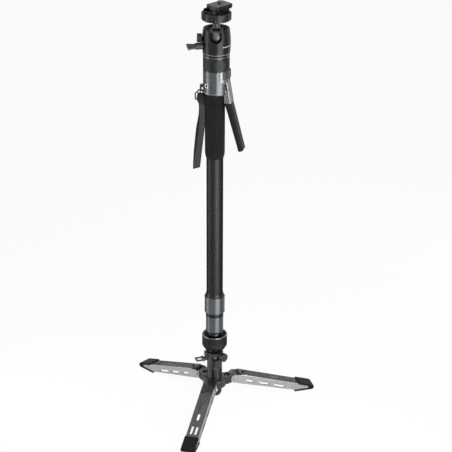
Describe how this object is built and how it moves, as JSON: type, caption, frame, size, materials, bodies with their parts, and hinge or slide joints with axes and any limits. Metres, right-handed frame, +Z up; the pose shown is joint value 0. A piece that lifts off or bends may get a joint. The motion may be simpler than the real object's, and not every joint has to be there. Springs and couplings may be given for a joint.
{
  "type": "camera monopod",
  "caption": "Telescoping camera monopod with a ball head, a squeeze lever on the handle, a wrist strap and a fold-out base with spread legs.",
  "frame": {"origin": "on the tube's axis at floor level, under the folding base", "axes": "+Z up along the tube, +X towards the squeeze lever, the wrist strap on the -X side"},
  "size_m": [0.3722, 0.3223, 0.8336],
  "materials": {
    "cast_black": "semi-gloss black painted casting",
    "steel": "machined steel",
    "wire": "polished steel wire",
    "knob_black": "satin black moulding",
    "ball_chrome": "polished dark ball",
    "anodised_black": "black anodised",
    "anodised_grey": "gunmetal grey anodised, satin",
    "leg_silver": "light grey anodised sheet",
    "carbon": "carbon fibre twill under clear gloss",
    "guide_plastic": "dark slide plastic",
    "foam": "matte black foam",
    "rubber": "matte black rubber",
    "webbing": "woven dark grey webbing"
  },
  "bodies": {
    "base": {"leg_hub": "cast_black", "leg_pivot_pins": "steel", "base_bolt": "steel"},
    "hanging_ring": {"hanging_ring": "cast_black"},
    "leg_1": {"leg_1": "leg_silver", "boot_1": "rubber"},
    "leg_2": {"leg_2": "leg_silver", "boot_2": "rubber"},
    "leg_3": {"leg_3": "leg_silver", "boot_3": "rubber"},
    "latch_1": {"leg_latch_1": "cast_black"},
    "latch_2": {"leg_latch_2": "cast_black"},
    "latch_3": {"leg_latch_3": "cast_black"},
    "swivel": {"swivel_block": "cast_black", "pedal_pin": "steel"},
    "tilt_knob": {"tilt_knob": "knob_black"},
    "pedal": {"foot_pedal": "cast_black"},
    "column": {"tilt_ball": "ball_chrome", "column_foot": "anodised_black", "lower_tube": "carbon", "lower_guide": "guide_plastic"},
    "cup": {"cup_lock_ring": "anodised_black"},
    "middle": {"middle_tube": "carbon", "lower_collar": "anodised_grey", "lower_collar_band": "anodised_black", "lower_bush": "guide_plastic", "middle_guide": "guide_plastic"},
    "upper": {"upper_tube": "carbon", "upper_collar": "anodised_grey", "upper_collar_band": "anodised_black", "upper_bush": "guide_plastic", "foam_grip": "foam", "handle_housing": "anodised_grey", "side_covers": "anodised_grey", "accessory_socket": "steel", "lever_cover": "anodised_grey", "lever_pin": "steel", "rod_spring": "wire", "rod_plug": "guide_plastic", "strap_lug": "anodised_grey", "strap_clip": "cast_black", "wrist_strap": "webbing", "pan_base": "anodised_black", "head_bolt": "steel"},
    "lever": {"lever_frame": "anodised_grey", "lever_grip": "rubber"},
    "rod": {"release_rod": "anodised_grey"},
    "slider": {"safety_slider": "anodised_grey"},
    "head": {"ball_housing": "anodised_black", "ball_seat": "guide_plastic"},
    "wing": {"wing_lever": "knob_black"},
    "friction": {"friction_knob": "knob_black"},
    "ball": {"head_ball": "ball_chrome"},
    "clamp": {"clamp_base": "anodised_black"},
    "ring": {"clamp_ring": "anodised_black"},
    "jaw": {"clamp_jaw": "anodised_black"},
    "plate": {"quick_release_plate": "anodised_black"},
    "screw": {"camera_screw": "steel"},
    "pin": {"camera_pin": "steel"}
  },
  "joints": [
    {"name": "ring_swing", "type": "hinge", "parent": "base", "child": "hanging_ring", "pos_m": [0, 0, 0.02973], "axis": [1, 0, 0], "range_deg": [-80, 80]},
    {"name": "leg_fold_1", "type": "hinge", "parent": "base", "child": "leg_1", "pos_m": [0.03447, 0.0199, 0.0485], "axis": [-0.5, 0.866, 0], "range_deg": [0, 71.8]},
    {"name": "leg_latch_1", "type": "slide", "parent": "leg_1", "child": "latch_1", "axis": [0.8227, 0.475, -0.3123], "range_m": [0, 0.003], "stiffness_N_per_m": 300, "springref_m": -0.005},
    {"name": "leg_fold_2", "type": "hinge", "parent": "base", "child": "leg_2", "pos_m": [-0.03447, 0.0199, 0.0485], "axis": [-0.5, -0.866, 0], "range_deg": [0, 71.8]},
    {"name": "leg_latch_2", "type": "slide", "parent": "leg_2", "child": "latch_2", "axis": [-0.8227, 0.475, -0.3123], "range_m": [0, 0.003], "stiffness_N_per_m": 300, "springref_m": -0.005},
    {"name": "leg_fold_3", "type": "hinge", "parent": "base", "child": "leg_3", "pos_m": [0, -0.0398, 0.0485], "axis": [1, 0, 0], "range_deg": [0, 71.8]},
    {"name": "leg_latch_3", "type": "slide", "parent": "leg_3", "child": "latch_3", "axis": [0, -0.95, -0.3123], "range_m": [0, 0.003], "stiffness_N_per_m": 300, "springref_m": -0.005},
    {"name": "swivel_pan", "type": "hinge", "parent": "base", "child": "swivel", "pos_m": [0, 0, 0.0803], "axis": [0, 0, 1], "continuous": true},
    {"name": "tilt_knob_turn", "type": "hinge", "parent": "swivel", "child": "tilt_knob", "pos_m": [0.0181, -0.01045, 0.1065], "axis": [0.866, -0.5, 0], "range_deg": [0, 270]},
    {"name": "pedal_press", "type": "hinge", "parent": "swivel", "child": "pedal", "pos_m": [-0.0207, -0.01195, 0.098], "axis": [0.5, -0.866, 0], "range_deg": [0, 14], "stiffness_Nm_per_rad": 0.05, "springref_deg": -5.73},
    {"name": "column_tilt", "type": "hinge", "parent": "swivel", "child": "column", "pos_m": [0, 0, 0.0995], "axis": [1, 0, 0], "range_deg": [-10, 10]},
    {"name": "cup_ring_turn", "type": "hinge", "parent": "column", "child": "cup", "pos_m": [0, 0, 0.138], "axis": [0, 0, 1], "range_deg": [0, 60]},
    {"name": "middle_slide", "type": "slide", "parent": "column", "child": "middle", "axis": [0, 0, 1], "range_m": [0, 0.37]},
    {"name": "upper_slide", "type": "slide", "parent": "middle", "child": "upper", "axis": [0, 0, 1], "range_m": [0, 0.33]},
    {"name": "lever_squeeze", "type": "hinge", "parent": "upper", "child": "lever", "pos_m": [0.017, 0, 0.6887], "axis": [0, 1, 0], "range_deg": [0, 5.2], "stiffness_Nm_per_rad": 2, "springref_deg": -5.73},
    {"name": "rod_lift", "type": "slide", "parent": "upper", "child": "rod", "axis": [0, 0, 1], "range_m": [0, 0.0014], "deforming": ["rod_spring"]},
    {"name": "safety_slide", "type": "slide", "parent": "upper", "child": "slider", "axis": [0, 0, -1], "range_m": [0, 0.003]},
    {"name": "head_pan", "type": "hinge", "parent": "upper", "child": "head", "pos_m": [0.0026, 0, 0.7309], "axis": [0, 0, 1], "continuous": true},
    {"name": "ball_tilt", "type": "hinge", "parent": "head", "child": "ball", "pos_m": [0.0026, 0, 0.7677], "axis": [0.9744, 0.225, 0], "range_deg": [-30, 90]},
    {"name": "ball_lock_turn", "type": "hinge", "parent": "head", "child": "wing", "pos_m": [-0.02364, -0.01454, 0.7515], "axis": [-0.8746, -0.4848, 0], "range_deg": [-60, 60]},
    {"name": "friction_turn", "type": "hinge", "parent": "head", "child": "friction", "pos_m": [-0.02663, -0.00675, 0.7644], "axis": [-0.9744, -0.225, 0], "range_deg": [0, 270]},
    {"name": "clamp_turn", "type": "hinge", "parent": "ball", "child": "clamp", "pos_m": [0.0026, 0, 0.7997], "axis": [0, 0, 1], "continuous": true},
    {"name": "clamp_ring_turn", "type": "hinge", "parent": "clamp", "child": "ring", "pos_m": [0.0026, 0, 0.807], "axis": [0, 0, 1], "range_deg": [0, 90]},
    {"name": "jaw_slide", "type": "slide", "parent": "clamp", "child": "jaw", "axis": [-0.8387, 0.5446, 0], "range_m": [0, 0.00165]},
    {"name": "plate_slide", "type": "slide", "parent": "clamp", "child": "plate", "axis": [0.5446, 0.8387, 0], "range_m": [-0.012, 0.003]},
    {"name": "camera_screw_turn", "type": "hinge", "parent": "plate", "child": "screw", "pos_m": [0.00668, 0.00629, 0.826], "axis": [0, 0, 1], "continuous": true},
    {"name": "pin_press", "type": "slide", "parent": "plate", "child": "pin", "axis": [0, 0, -1], "range_m": [0, 0.003], "stiffness_N_per_m": 400, "springref_m": -0.003}
  ],
  "couplings": [
    {"joint": "rod_lift", "follows": "lever_squeeze", "m_per_rad": 0.0145},
    {"joint": "jaw_slide", "follows": "clamp_ring_turn", "m_per_rad": 0.00101}
  ]
}
